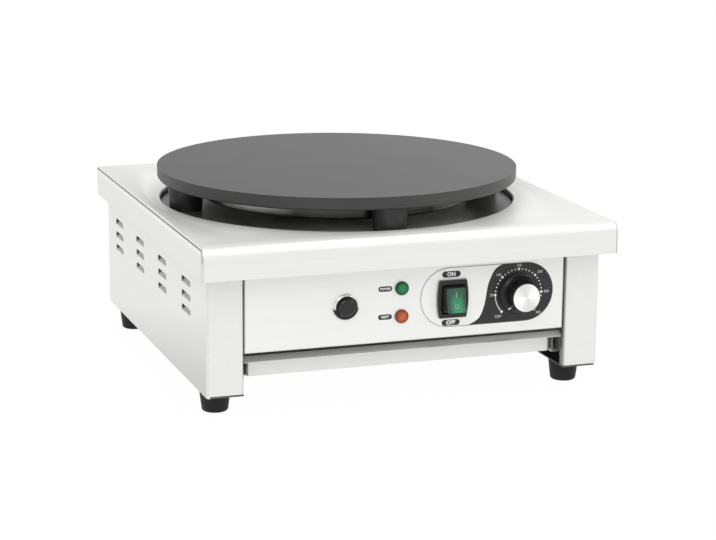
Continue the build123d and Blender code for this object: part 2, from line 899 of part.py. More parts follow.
# -------------------------------------------------------------- thermostat and knob
bush_front = legend_front - sheet
shaft_back = panel_back + shaft_in_thermostat
with BuildPart() as thermostat_body:
    with BuildSketch(Plane.XZ.offset(-panel_back)) as case:
        with Locations((dial_x, control_z)):
            RectangleRounded(thermostat_width, thermostat_width, bend_radius)
    extrude(amount=-thermostat_depth)
    with BuildSketch(Plane.XZ.offset(-bush_front)):
        with Locations((dial_x, control_z)):
            Circle(bush_diameter / 2)
    extrude(amount=bush_front - panel_back)
    with BuildSketch(Plane.XZ.offset(-bush_front)):
        with Locations((dial_x, control_z)):
            Circle(shaft_diameter / 2 + running)
    extrude(amount=bush_front - shaft_back - fit, mode=Mode.SUBTRACT)
save(thermostat_body, "thermostat_body")

knob_back = legend_front - knob_clearance
cap_front = panel_front - knob_length
knob_front = cap_front + cap_proud
shaft_front = knob_back - shaft_in_knob
with BuildPart() as knob:
    with BuildSketch(turning_plane(dial_x, knob_back, control_z)) as knob_half:
        with BuildLine():
            Polyline(
                (0, knob_front - knob_back),
                (0, 0),
                (knob_skirt_diameter / 2, 0),
                (knob_skirt_diameter / 2, -knob_skirt_height),
            )
            Spline(
                (knob_skirt_diameter / 2, -knob_skirt_height),
                (knob_waist_diameter / 2, -knob_skirt_height - knob_flare_height),
                tangents=((-1, -0.35), (0, -1)),
            )
            Polyline(
                (knob_waist_diameter / 2, -knob_skirt_height - knob_flare_height),
                (knob_waist_diameter / 2, knob_front - knob_back),
                (0, knob_front - knob_back),
            )
        make_face()
    revolve(axis=depth_axis(dial_x, control_z))
    rim = knob.edges().filter_by(GeomType.CIRCLE).sort_by(Axis.Y)[0]
    fillet(rim, radius=cap_edge_radius)
    with BuildSketch(Plane.XZ.offset(-knob_front)):
        with Locations((dial_x, control_z)):
            Circle(cap_diameter / 2 + running)
    extrude(amount=cap_proud - cap_thickness, mode=Mode.SUBTRACT)
    with BuildSketch(Plane.XZ.offset(-knob_back)):
        with Locations((dial_x, control_z)):
            Circle(bush_diameter / 2 + fit)
    extrude(amount=knob_back - bush_front + fit, mode=Mode.SUBTRACT)
    with BuildSketch(Plane.XZ.offset(-knob_back)):
        with Locations((dial_x, control_z)):
            Circle(shaft_diameter / 2 + running)
    extrude(amount=shaft_in_knob, mode=Mode.SUBTRACT)
save(knob, "knob")

with BuildPart() as knob_cap:
    with BuildSketch(Plane.XZ.offset(-cap_front)):
        with Locations((dial_x, control_z)):
            Circle(cap_diameter / 2)
    extrude(amount=-cap_thickness)
    cap_rim = knob_cap.edges().filter_by(GeomType.CIRCLE).sort_by(Axis.Y)[0]
    fillet(cap_rim, radius=cap_edge_radius)
save(knob_cap, "knob_cap")

with BuildPart() as thermostat_shaft:
    with BuildSketch(Plane.XZ.offset(-shaft_front)):
        with Locations((dial_x, control_z)):
            Circle(shaft_diameter / 2)
    extrude(amount=shaft_front - shaft_back)
save(thermostat_shaft, "thermostat_shaft")

# --------------------------------------------------------------------- mains switch
# The rocker stands at ON: its top is pressed in. It turns about a line along X.
rocker_plane = Plane(
    origin=(switch_x, panel_front, control_z),
    x_dir=(0, math.cos(math.radians(rocker_tilt)), -math.sin(math.radians(rocker_tilt))),
    z_dir=(1, 0, 0),
)


def rocker_side(front, reach, back):
    """Side view of the rocker: ends round its pivot, a hollow front and a curved back."""
    corner = math.sqrt(reach**2 - front**2)
    middle = Vector(-1, 0).rotate(Axis.Z, math.degrees(math.atan2(-corner, front)) / 2 - 45)
    shoulder = middle * reach
    with BuildSketch() as section:
        with BuildLine():
            ThreePointArc((-front, corner), (shoulder.X, shoulder.Y), (0, reach))
            ThreePointArc((0, reach), (back, 0), (0, -reach))
            ThreePointArc((0, -reach), (shoulder.X, -shoulder.Y), (-front, -corner))
            ThreePointArc((-front, -corner), (rocker_dip - front, 0), (-front, corner))
        make_face()
    return section.sketch


with BuildPart() as rocker_window:
    with BuildSketch(rocker_plane):
        add(rocker_side(rocker_front, rocker_height / 2, rocker_back))
    extrude(amount=rocker_window_width / 2, both=True)
    with BuildSketch(rocker_plane):
        with Locations((-rocker_front + rocker_dip + rocker_window_thickness, 0)):
            Rectangle(rocker_front * 2, rocker_height * 2, align=(Align.MIN, Align.CENTER))
    extrude(amount=rocker_width, both=True, mode=Mode.SUBTRACT)
    with BuildSketch(rocker_plane):
        Rectangle(4 * rocker_front, rocker_window_height)
    extrude(amount=rocker_width, both=True, mode=Mode.INTERSECT)
save(rocker_window, "rocker_window")

with BuildPart() as rocker:
    with BuildSketch(rocker_plane):
        add(rocker_side(rocker_front, rocker_height / 2, rocker_back))
    extrude(amount=rocker_width / 2, both=True)
    fillet(rocker.edges().filter_by(Axis.X).group_by(Axis.Y)[0], radius=bezel_edge)
    add(rocker_window.part, mode=Mode.SUBTRACT)
save(rocker, "rocker")

bezel_back = legend_front
bezel_front = bezel_back - bezel_thickness
shell_width = rocker_width + 2 * rocker_gap
shell_height = rocker_height + 2 * rocker_gap
with BuildPart() as switch_bezel:
    with BuildSketch(Plane.XZ.offset(-bezel_back)):
        with BuildLine():
            right_top = (switch_x + bezel_width / 2, control_z + bezel_height / 2)
            right_bottom = (switch_x + bezel_width / 2, control_z - bezel_height / 2)
            left_top = (switch_x - bezel_width / 2, control_z + bezel_height / 2)
            left_bottom = (switch_x - bezel_width / 2, control_z - bezel_height / 2)
            reach = bezel_width / 2 + bezel_bulge
            Line(left_top, right_top)
            ThreePointArc(right_top, (switch_x + reach, control_z), right_bottom)
            Line(right_bottom, left_bottom)
            ThreePointArc(left_bottom, (switch_x - reach, control_z), left_top)
        make_face()
    extrude(amount=bezel_thickness)
    fillet(switch_bezel.faces().sort_by(Axis.Y)[0].edges(), radius=bezel_edge)
    with BuildSketch(Plane.XZ.offset(-bezel_front)):
        with Locations((switch_x, control_z)):
            Rectangle(shell_width, shell_height)
    extrude(amount=-bezel_thickness, mode=Mode.SUBTRACT)
save(switch_bezel, "switch_bezel")

switch_back = panel_back + switch_body_depth
with BuildPart() as switch_body:
    with BuildSketch(Plane.XZ.offset(-bezel_back)):
        with Locations((switch_x, control_z)):
            Rectangle(shell_width + 2 * switch_wall, shell_height + 2 * switch_wall)
    extrude(amount=bezel_back - switch_back)
    with BuildSketch(Plane.XZ.offset(-bezel_back)):
        with Locations((switch_x, control_z)):
            Rectangle(shell_width, shell_height)
    extrude(amount=bezel_back - panel_front - rocker_height / 2, mode=Mode.SUBTRACT)
    with BuildSketch(Plane.XZ.offset(-switch_back)):
        with Locations((switch_x, control_z)):
            with GridLocations(shell_width / 2, shell_height / 2, 2, 2):
                Rectangle(sheet, terminal_diameter)
    extrude(amount=-terminal_diameter)
save(switch_body, "switch_body")

# --------------------------------------------------------------------- signal lamps
for colour, (x, z) in zip(("green", "orange"), lamp_places):
    with BuildPart() as lens:
        with BuildSketch(panel_face):
            with Locations((x, z)):
                Circle(lamp_diameter / 2)
        extrude(amount=lamp_height)
        crown = lens.edges().filter_by(GeomType.CIRCLE).sort_by(Axis.Y)[0]
        fillet(crown, radius=lamp_height - lamp_rim)
    save(lens, f"lamp_lens_{colour}")
    with BuildPart() as holder:
        with BuildSketch(panel_face):
            with Locations((x, z)):
                Circle(lamp_body_diameter / 2)
        extrude(amount=-lamp_body_depth)
    save(holder, f"lamp_holder_{colour}")

# --------------------------------------------------------------------- reset button
reset_back = panel_front - reset_travel - fit
with BuildPart() as reset_ring:
    with BuildSketch(panel_face):
        with Locations((reset_x, control_z)):
            Circle(reset_ring_diameter / 2)
    extrude(amount=reset_ring_height)
    ring_rim = reset_ring.edges().filter_by(GeomType.CIRCLE).sort_by(Axis.Y)[0]
    fillet(ring_rim, radius=reset_ring_round)
    with BuildSketch(panel_face):
        with Locations((reset_x, control_z)):
            Circle(reset_diameter / 2 + reset_gap)
    extrude(amount=reset_ring_height, mode=Mode.SUBTRACT)
save(reset_ring, "reset_ring")

limiter_stem_end = panel_back + reset_travel + reset_travel
with BuildPart() as reset_button:
    with BuildSketch(Plane.XZ.offset(-reset_back)):
        with Locations((reset_x, control_z)):
            Circle(reset_diameter / 2)
    extrude(amount=reset_back - panel_front + reset_protrusion)
    crown = reset_button.edges().filter_by(GeomType.CIRCLE).sort_by(Axis.Y)[0]
    fillet(crown, radius=reset_dome)
    with BuildSketch(Plane.XZ.offset(-reset_back)):
        with Locations((reset_x, control_z)):
            Circle(reset_stem_diameter / 2)
    extrude(amount=reset_back - limiter_stem_end)
save(reset_button, "reset_button")

with BuildPart() as limiter_body:
    with BuildSketch(Plane.XZ.offset(-panel_back)):
        with Locations((reset_x, control_z)):
            Circle(limiter_diameter / 2)
    extrude(amount=-limiter_depth)
    with BuildSketch(Plane.XZ.offset(-panel_front)):
        with Locations((reset_x, control_z)):
            Circle(limiter_neck / 2)
    extrude(amount=panel_front - panel_back)
    with BuildSketch(panel_face):
        with Locations((reset_x, control_z)):
            Circle(reset_stem_diameter / 2 + running)
    extrude(
        amount=panel_front - limiter_stem_end - reset_travel - fit, mode=Mode.SUBTRACT
    )
save(limiter_body, "limiter_body")

# ------------------------------------------------------------- cord entry and wiring
gland_front = rear_panel_back + gland_protrusion
with BuildPart() as cable_gland:
    with BuildSketch(Plane.XZ.offset(-rear_panel_back)):
        with Locations((gland_x, gland_z)):
            RegularPolygon(gland_hex / 2, 6, major_radius=False)
    extrude(amount=-gland_hex_height)
    with BuildSketch(Plane.XZ.offset(-rear_panel_back)):
        with Locations((gland_x, gland_z)):
            Circle(gland_neck_diameter / 2)
    extrude(amount=-gland_protrusion)
    tip = cable_gland.edges().filter_by(GeomType.CIRCLE).sort_by(Axis.Y)[-1]
    fillet(tip, radius=gland_tip_radius)
    with BuildSketch(Plane.XZ.offset(-rear_panel_back)):
        with Locations((gland_x, gland_z)):
            Circle(gland_thread_diameter / 2)
    extrude(amount=gland_thread_length)
    with BuildSketch(Plane.XZ.offset(-rear_panel_back)):
        with Locations((gland_x, gland_z)):
            Circle(gland_bore / 2)
    extrude(amount=gland_protrusion + gland_thread_length, both=True, mode=Mode.SUBTRACT)
save(cable_gland, "cable_gland")

with BuildPart() as gland_nut:
    with BuildSketch(Plane.XZ.offset(-rear_panel_front)):
        with Locations((gland_x, gland_z)):
            RegularPolygon(gland_hex / 2, 6, major_radius=False)
            Circle(gland_thread_diameter / 2 + running, mode=Mode.SUBTRACT)
    extrude(amount=gland_nut_height)
save(gland_nut, "gland_nut")

block_y = base_rear - panel_return - block_length / 2
with BuildPart() as terminal_block:
    with BuildSketch(Plane.XY.offset(base_top)):
        with Locations((gland_x, block_y)):
            Rectangle(block_width, block_length)
    extrude(amount=block_height)
    fillet(terminal_block.edges().filter_by(Axis.Y), radius=bezel_edge)
    with BuildSketch(Plane.YZ.offset(gland_x)):
        with Locations((block_y, base_top + block_height / 2)):
            with GridLocations(block_length / 3, 1, 3, 1):
                Circle(block_hole / 2)
    extrude(amount=block_width, both=True, mode=Mode.SUBTRACT)
save(terminal_block, "terminal_block")
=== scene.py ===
import math

import bmesh
import bpy
from mathutils import Matrix, Vector
from mathutils.bvhtree import BVHTree


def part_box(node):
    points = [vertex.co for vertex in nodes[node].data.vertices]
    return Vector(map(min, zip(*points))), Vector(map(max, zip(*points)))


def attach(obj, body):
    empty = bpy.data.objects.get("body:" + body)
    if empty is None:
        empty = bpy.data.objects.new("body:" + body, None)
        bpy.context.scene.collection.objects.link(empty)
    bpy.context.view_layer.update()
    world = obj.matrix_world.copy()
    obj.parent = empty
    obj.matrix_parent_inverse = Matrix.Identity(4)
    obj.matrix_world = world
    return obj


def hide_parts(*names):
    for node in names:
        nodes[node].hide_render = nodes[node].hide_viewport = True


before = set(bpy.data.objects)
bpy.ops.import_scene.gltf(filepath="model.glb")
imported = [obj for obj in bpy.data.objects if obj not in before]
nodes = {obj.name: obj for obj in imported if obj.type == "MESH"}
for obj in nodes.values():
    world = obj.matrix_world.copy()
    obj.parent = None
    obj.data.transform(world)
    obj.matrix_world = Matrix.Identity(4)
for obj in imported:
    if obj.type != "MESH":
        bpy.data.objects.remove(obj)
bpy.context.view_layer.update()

MM = 0.001

# ------------------------------------------------------------------------------ camera
image_width = 716
sensor_width = 36.0
focal_pixels = 2185.2
camera_place = (-0.7738, -2.2543, 0.6562)
camera_turn = math.radians(19.38)      # to the right of straight ahead
camera_dip = math.radians(13.23)
camera_roll = math.radians(0.49)


def make_camera():
    data = bpy.data.cameras.new("camera")
    data.sensor_width = sensor_width
    data.lens = focal_pixels * sensor_width / image_width
    camera = bpy.data.objects.new("camera", data)
    bpy.context.scene.collection.objects.link(camera)
    looking = Vector(
        (
            math.sin(camera_turn) * math.cos(camera_dip),
            math.cos(camera_turn) * math.cos(camera_dip),
            -math.sin(camera_dip),
        )
    )
    level = Vector((math.cos(camera_turn), -math.sin(camera_turn), 0.0))
    upward = level.cross(looking)
    right = level * math.cos(camera_roll) + upward * math.sin(camera_roll)
    top = right.cross(looking)
    turned = Matrix((right, top, -looking)).transposed().to_4x4()
    camera.matrix_world = Matrix.Translation(camera_place) @ turned
    bpy.context.scene.camera = camera


make_camera()
bpy.context.scene.view_settings.view_transform = "Standard"


# --------------------------------------------------------------------------- node trees
def add_node(tree, kind, settings=None, values=()):
    """Any node: its settings first, then its sockets by place or by name."""
    made = tree.nodes.new(kind)
    for key, value in (settings or {}).items():
        setattr(made, key, value)
    pairs = values.items() if isinstance(values, dict) else enumerate(values)
    for socket, value in pairs:
        if isinstance(value, Value):
            value = value.socket
        if isinstance(value, bpy.types.NodeSocket):
            tree.links.new(value, made.inputs[socket])
        else:
            made.inputs[socket].default_value = value
    return made


class Value:
    """A number that varies over a surface: arithmetic on it adds Math nodes."""

    def __init__(self, tree, socket):
        self.tree, self.socket = tree, socket

    def math(self, operation, *others):
        step = add_node(self.tree, "ShaderNodeMath", {"operation": operation}, [self, *others])
        return Value(self.tree, step.outputs[0])

    def __add__(self, other):
        return self.math("ADD", other)

    def __mul__(self, other):
        return self.math("MULTIPLY", other)

    def __sub__(self, other):
        return self.math("SUBTRACT", other)

    def __rsub__(self, other):
        return (self * -1.0) + other

    def __gt__(self, other):
        return self.math("GREATER_THAN", other)

    def __lt__(self, other):
        return self.math("LESS_THAN", other)

    def __abs__(self):
        return self.math("ABSOLUTE")

    __radd__, __rmul__ = __add__, __mul__

    def at_least(self, other):
        return self.math("MAXIMUM", other)

    def at_most(self, other):
        return self.math("MINIMUM", other)

    def within(self, low, high):
        """1 between two edges and 0 outside them."""
        return (self > low) * (self < high)

    def above(self, edge, width):
        """0 below the edge and 1 above it, over a soft width."""
        return self.ramp(edge - width, edge + width)

    def ramp(self, low, high, start=0.0, end=1.0):
        """Goes from start to end between low and high, and stays level outside them."""
        step = add_node(
            self.tree, "ShaderNodeMapRange", {"clamp": True}, [self, low, high, start, end]
        )
        return Value(self.tree, step.outputs[0])


def distance(across, up):
    """How far a point is from a line, by its two distances square to the line."""
    return (across * across + up * up).math("SQRT")


# --------------------------------------------------------------------------- finishes
class Finish:
    """A named material on a Principled shader whose even values sit on its own sockets."""

    def __init__(self, name, color, **sockets):
        self.material = bpy.data.materials.new(name)
        self.material.use_nodes = True
        self.tree = self.material.node_tree
        self.shader = self.tree.nodes["Principled BSDF"]
        self.shader.inputs["Base Color"].default_value = (*color, 1.0)
        for socket, value in sockets.items():
            self.shader.inputs[socket.replace("_", " ")].default_value = value

    def node(self, kind, settings=None, values=()):
        return add_node(self.tree, kind, settings, values)

    def place(self, scale=(1.0, 1.0, 1.0)):
        """Object coordinates, scaled along each axis."""
        source = self.node("ShaderNodeTexCoord")
        mapping = self.node(
            "ShaderNodeMapping", values={"Vector": source.outputs["Object"], "Scale": scale}
        )
        return mapping.outputs[0]

    def axes(self):
        """The three object coordinates, in metres."""
        parts = self.node("ShaderNodeSeparateXYZ", values=[self.place()])
        return [Value(self.tree, socket) for socket in parts.outputs]

    def round_axes(self, node):
        """Across, up and outwards from the middle of a round piece, and its radius."""
        low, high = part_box(node)
        x, _, z = self.axes()
        across = x - (low[0] + high[0]) / 2
        up = z - (low[2] + high[2]) / 2
        return across, up, distance(across, up), (high[0] - low[0]) / 2

    def noise(self, scale, detail=4.0, roughness=0.55, vector=None):
        """Smooth noise from 0 to 1, with as many swells to the metre as its scale."""
        made = self.node(
            "ShaderNodeTexNoise",
            values={
                "Vector": vector or self.place(),
                "Scale": scale,
                "Detail": detail,
                "Roughness": roughness,
            },
        )
        return Value(self.tree, made.outputs[0])

    def blend(self, amount, first, second):
        """Colour between two colours; each is a socket or three numbers."""
        first, second = (
            color if isinstance(color, bpy.types.NodeSocket) else (*color, 1.0)
            for color in (first, second)
        )
        mix = self.node(
            "ShaderNodeMix", {"data_type": "RGBA"}, {"Factor": amount, 6: first, 7: second}
        )
        return mix.outputs[2]

    def feed(self, socket, value):
        value = value.socket if isinstance(value, Value) else value
        self.tree.links.new(value, self.shader.inputs[socket])
        return self

    def bump(self, height, depth):
        """Fine relief of a depth in metres."""
        made = self.node("ShaderNodeBump", values={"Distance": depth, "Height": height})
        return self.feed("Normal", made.outputs[0])


steel_blue = 0.975                      # blue of steel, as a share of its red and green
painted_shade_steel = (0.045, 0.045, 0.044)      # colour of steel under painted shade


def brushed_steel(name, along, tone, rough, metal, shade=None):
    """Satin steel brushed along one axis; shade gives how much painted shade darkens each point,
    from 0 to 1.
    """
    steel = Finish(name, (tone, tone, tone * steel_blue), Metallic=metal, Roughness=rough)
    fine, coarse = [900.0] * 3, [160.0] * 3       # marks to the metre across the brushing
    fine[along], coarse[along] = 7.0, 2.0         # and along it
    streaks = steel.noise(1.0, 3.0, 0.6, steel.place(fine))
    bands = steel.noise(1.0, 2.0, 0.5, steel.place(coarse))
    smudges = steel.noise(9.0, 3.0)
    lines = streaks * 0.65 + bands * 0.35
    bright = (lines * 0.8 + smudges * 0.2).ramp(0.35, 0.65)
    dark, light = (
        (level, level, level * steel_blue)
        for level in (tone * 0.965, tone * 1.015)
    )
    color = steel.blend(bright, dark, light)
    if shade:
        # painted shade, as much as the shade function gives
        color = steel.blend(shade(*steel.axes()), color, painted_shade_steel)
    steel.feed("Base Color", color)
    steel.feed("Roughness", lines * 0.10 + smudges * 0.08 + (rough - 0.09))
    return steel.bump(lines, 0.000012).material


def cast_plate(name):
    """Machined and seasoned cast iron: fine pores, a soft cloud, and painted light that makes it
    paler towards one side.
    """
    iron = Finish(name, (0.021, 0.021, 0.022), Roughness=0.42, Specular_IOR_Level=0.60)
    pores = iron.noise(1100.0, 3.0, 0.6)
    cloud = iron.noise(11.0, 4.0, 0.6)
    # painted light: the plate grows paler towards one side
    painted_side_light = iron.axes()[0].ramp(-0.20, 0.20)
    shade = (pores * 0.5 + cloud * 0.5).ramp(0.3, 0.7, 0.0, 0.25) + painted_side_light * 0.75
    iron.feed("Base Color", iron.blend(shade, (0.004, 0.004, 0.004), (0.046, 0.045, 0.044)))
    iron.feed("Roughness", cloud * 0.08 + pores * 0.08 + 0.34)
    return iron.bump(pores, 0.00004).material


def moulded(name, color, rough, **sockets):
    """Moulded plastic, rubber, paint or print with a fine texture and faint wear."""
    skin = Finish(name, color, Roughness=rough, **sockets)
    fine = skin.noise(1500.0, 2.0)
    wear = skin.noise(60.0, 3.0)
    lighter = tuple(min(1.0, part * 1.25 + 0.004) for part in color)
    skin.feed("Base Color", skin.blend(wear.ramp(0.35, 0.7), color, lighter))
    skin.feed("Roughness", fine * 0.10 + wear * 0.10 + (rough - 0.10))
    return skin.bump(fine, 0.00003).material


def lens_plastic(name, node, middle_color, rim_color):
    """Tinted lens, lit in the middle and darker at its rim, ribbed inside."""
    lens = Finish(name, middle_color, Roughness=0.2, Specular_IOR_Level=0.25)
    _, _, out, radius = lens.round_axes(node)
    reach = out * (1.0 / radius)
    ribs = (reach * 40.0).math("SINE") * 0.12
    edge = reach + lens.noise(300.0, 2.0) * 0.25 - 0.12 + ribs
    lens.feed("Base Color", lens.blend(edge.ramp(0.45, 0.95), middle_color, rim_color))
    lens.feed("Roughness", edge * 0.06 + 0.12)
    return lens.bump(ribs, 0.00005).material


def chrome_ring(name, node):
    """Chrome ring with a painted reflection: bright round its upper half and dark below and beside
    the button.
    """
    ring = Finish(name, (0.85, 0.85, 0.85), Metallic=1.0, Roughness=0.12)
    _, up, out, radius = ring.round_axes(node)
    reach = out * (1.0 / radius)
    smear = ring.noise(350.0, 3.0)
    # painted reflection: bright on the upper half of the ring, dark below and on the inner edge
    bright = reach.above(0.86, 0.03) * (up + smear * 0.004).ramp(-0.001, 0.002)
    ring.feed("Base Color", ring.blend(bright, (0.035, 0.035, 0.035), (0.88, 0.88, 0.87)))
    ring.feed("Roughness", smear * 0.12 + 0.06)
    return ring.bump(smear, 0.00002).material


def spun_face(name, node):
    """Aluminium face spun on a lathe: fine rings and soft rays of painted sheen."""
    face = Finish(name, (0.9, 0.9, 0.89), Metallic=0.55, Roughness=0.3)
    across, up, out, _ = face.round_axes(node)
    rings = (out * 9000.0 + face.noise(400.0) * 2.0).math("SINE") * 0.5 + 0.5
    # painted sheen in soft rays round the face
    rays = (up.math("ARCTAN2", across) * 2.0 + 0.9).math("SINE") * 0.5 + 0.5
    painted_sheen = rays * 0.8 + rings * 0.2
    face.feed("Base Color", face.blend(painted_sheen, (0.66, 0.66, 0.65), (0.98, 0.98, 0.97)))
    face.feed("Roughness", rings * 0.12 + 0.22)
    return face.bump(rings, 0.00002).material


# -------------------------------------------------------------- painted shade on each sheet
cover_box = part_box("top_cover")
side_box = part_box("side_panel_right")
tray_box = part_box("tray")
roll = 0.009                    # radius of the roll along the front of the cover
side_bend = 0.003               # outside radius of the folds of the side panels
plate_y = 0.020                 # middle of the round plate
hair = 0.0001                   # a distance that counts as none


def cover_painted_shade(x, y, z):
    """Painted shade on the cover: a dark line along its side folds and round the ends of its roll,
    a top darker towards each side, the ends of the roll and the face below it.
    """
    (_, front, _), (side, _, top) = cover_box
    fold_line, nose_line, painted_line_shade = (0.0011, 0.0025), (hair, 0.0034), 0.85
    back = (y - (front + roll)).at_most(0.0)
    up = (z - (top - roll)).at_least(0.0)
    depth = roll - distance(back, up)
    nose = back.ramp(-roll, -0.3 * roll, 1.0, 0.0)
    # painted shade: a dark line along the folds and round the ends of the roll
    line = depth.within(*fold_line) * painted_line_shade
    line = line + depth.within(*nose_line) * nose * painted_line_shade
    line = line * (abs(x) > side - 0.0002) * (z + nose * 1.1 * roll > top - 0.8 * roll)
    # painted shade on the top, darker towards each side
    flat = x.ramp(-0.21, -0.10, 0.20, 0.0) + x.ramp(0.08, 0.19, 0.0, 0.10)
    flat = flat * z.above(top - 0.0030, 0.0005)
    # painted shade on the ends of the roll
    end = abs(x).above(side - 0.0018, 0.0004)
    end = end * (y < front + roll) * x.ramp(-0.1, 0.1, 0.12, 0.5)
    # painted shade on the face below the roll
    painted_shade_under_roll = z.ramp(top - roll, top - 0.6 * roll, 0.09, 0.0)
    return line + flat + end + painted_shade_under_roll


def side_painted_shade(x, y, z):
    """Painted shade on a side panel: dark inside, darkest on its flange, darker along its bends,
    and greyer low down outside.
    """
    (_, front, bottom), (side, rear, _) = side_box
    bend_sharpness = 400.0
    beside = (abs(x) - (side - side_bend)).at_least(0.0)
    beyond = ((front + side_bend) - y).at_least(y - (rear - side_bend)).at_least(0.0)
    inside = distance(beside, beyond) < side_bend - 0.0005
    flange = z.within(0.0, bottom + 0.0020) * (beside < hair)
    # painted shade inside the panel, darkest on its flange
    inside_shade = (inside * z.ramp(0.070, 0.075, 0.50, 0.54)).at_least(flange * 0.92)
    # painted shade along the bends
    painted_bend_shade = (beside * bend_sharpness).at_most(beyond * bend_sharpness).at_most(1.0) * 0.10
    height = z + y * 0.2
    # painted shade, greyer low down on the outside
    painted_low_shade = height.ramp(-0.005, 0.062, 0.34, 0.06) * height.ramp(0.060, 0.068, 1.0, 0.2)
    return inside_shade + painted_bend_shade + painted_low_shade * (beyond < hair)


def tray_lip(x, y, z):
    """The flat and the slope of the lip, which lie in the shade of the panel."""
    (_, front, _), (_, _, top) = tray_box
    lip_length, lip_drop = 0.0152, 0.0054
    lip = z.within(top - lip_drop, top + 0.001) * (y < front + lip_length)
    return lip * z.ramp(top - 0.0045, top, 1.0, 0.80) * x.ramp(-0.18, 0.18, 0.76, 0.58)


def bowl_painted_reflection(x, y, z):
    """Painted dark reflection on the front of the bowl, with plain steel at both sides."""
    turn = x.math("ARCTAN2", plate_y - y)
    # painted reflection, left out at both sides
    plain_sides = turn.ramp(-1.0, -0.62, 1.0, 0.0) + turn.ramp(0.40, 0.62)
    return (1.0 - plain_sides) * 0.95


def well_painted_shade(x, y, z):
    """Painted shade on the well, darker towards its two sides."""
    return abs(x).ramp(0.05, 0.13, 0.0, 0.85)


# ------------------------------------------------------------- finishes of the pieces
def dress(material, *names):
    """Gives CAD nodes a better material in their own slots."""
    for name in names:
        data = nodes[name].data
        if not data.materials:
            data.materials.append(material)
        for place in range(len(data.materials)):
            data.materials[place] = material


SIDEWAYS, LENGTHWAYS, UPWARDS = 0, 1, 2         # axis that a sheet is brushed along

# name, axis, tone, roughness, metal, shade, pieces
for name, along, tone, rough, metal, shade, pieces in (
    ("stainless_cover", SIDEWAYS, 0.83, 0.38, 0.42, cover_painted_shade, ["top_cover"]),
    ("stainless_panel", SIDEWAYS, 0.85, 0.32, 0.60, None, ["control_panel", "rear_panel"]),
    ("stainless_tray", SIDEWAYS, 0.79, 0.32, 0.60, tray_lip, ["tray"]),
    ("stainless_side", LENGTHWAYS, 0.79, 0.32, 0.60, side_painted_shade,
     ["side_panel_left", "side_panel_right"]),
    ("galvanised_sheet", SIDEWAYS, 0.66, 0.38, 0.70, None,
     ["base_plate", "cross_beam_front", "cross_beam_middle", "cross_beam_rear",
      "tray_runner_left", "tray_runner_right"]),
    ("bowl_steel", UPWARDS, 0.70, 0.24, 1.0, bowl_painted_reflection, ["heater_bowl"]),
    ("well_steel", UPWARDS, 0.80, 0.25, 0.90, well_painted_shade, ["drip_well"]),
    ("well_floor_steel", SIDEWAYS, 0.75, 0.36, 0.50, well_painted_shade, ["well_base"]),
    ("zinc_plate", UPWARDS, 0.62, 0.33, 0.90, None,
     ["post_bolts", "bowl_stud", "foot_screws", "foot_nuts", "element_strap",
      "thermostat_body", "thermostat_shaft"]),
    ("element_sheath", SIDEWAYS, 0.20, 0.45, 0.80, None, ["heating_element"]),
    ("drawn_copper", SIDEWAYS, 0.55, 0.30, 1.0, None, ["thermostat_bulb"]),
    ("legend_film", SIDEWAYS, 0.86, 0.33, 0.45, None, ["legend_plate"]),
):
    dress(brushed_steel(name, along, tone, rough, metal, shade), *pieces)

# name, colour, roughness, specular level, pieces
for name, color, rough, specular, pieces in (
    ("post_paint", (0.010, 0.010, 0.010), 0.45, 0.5,
     ["post_front", "post_right", "post_rear", "post_left"]),
    ("foot_rubber", (0.007, 0.007, 0.007), 0.60, 0.3,
     ["foot_front_left", "foot_front_right", "foot_rear_left", "foot_rear_right"]),
    ("black_moulding", (0.010, 0.010, 0.011), 0.30, 0.4,
     ["switch_bezel", "switch_body", "rocker", "lamp_holder_green", "lamp_holder_orange"]),
    ("knob_moulding", (0.005, 0.005, 0.005), 0.20, 0.33, ["knob"]),
    ("reset_moulding", (0.006, 0.006, 0.006), 0.15, 0.45, ["reset_button"]),
    ("gland_nylon", (0.03, 0.03, 0.03), 0.45, 0.5, ["cable_gland", "gland_nut"]),
    ("white_nylon", (0.75, 0.74, 0.70), 0.45, 0.5, ["terminal_block"]),
    ("fibre_board", (0.80, 0.78, 0.72), 0.80, 0.5, ["insulation_pad"]),
    ("brown_moulding", (0.12, 0.06, 0.035), 0.45, 0.5, ["limiter_body"]),
):
    dress(moulded(name, color, rough, Specular_IOR_Level=specular), *pieces)

dress(cast_plate("seasoned_iron"), "griddle_plate")
dress(spun_face("knob_face", "knob_cap"), "knob_cap")
dress(chrome_ring("chrome_plate", "reset_ring"), "reset_ring")
for color_name, middle_color, rim_color in (
    ("green", (0.022, 0.20, 0.070), (0.006, 0.055, 0.020)),
    ("orange", (0.46, 0.115, 0.035), (0.14, 0.030, 0.012)),
):
    lens_name = "lamp_lens_" + color_name
    dress(lens_plastic(color_name + "_lens", lens_name, middle_color, rim_color), lens_name)

print_black = moulded("print_black", (0.013, 0.013, 0.013), 0.33, Specular_IOR_Level=0.45)
print_white = moulded("print_white", (0.80, 0.80, 0.79), 0.40)
print_pale = moulded("print_pale", (0.50, 0.50, 0.49), 0.40)
print_line = moulded("print_line", (0.10, 0.10, 0.10), 0.40)
rocker_print = moulded("rocker_print", (0.14, 0.33, 0.22), 0.35, Specular_IOR_Level=0.4)


# ---------------------------------------------------------------- places on the panel
def middle(name):
    """Middle of a CAD node, in millimetres."""
    return [(low + high) / 2 / MM for low, high in zip(*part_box(name))]


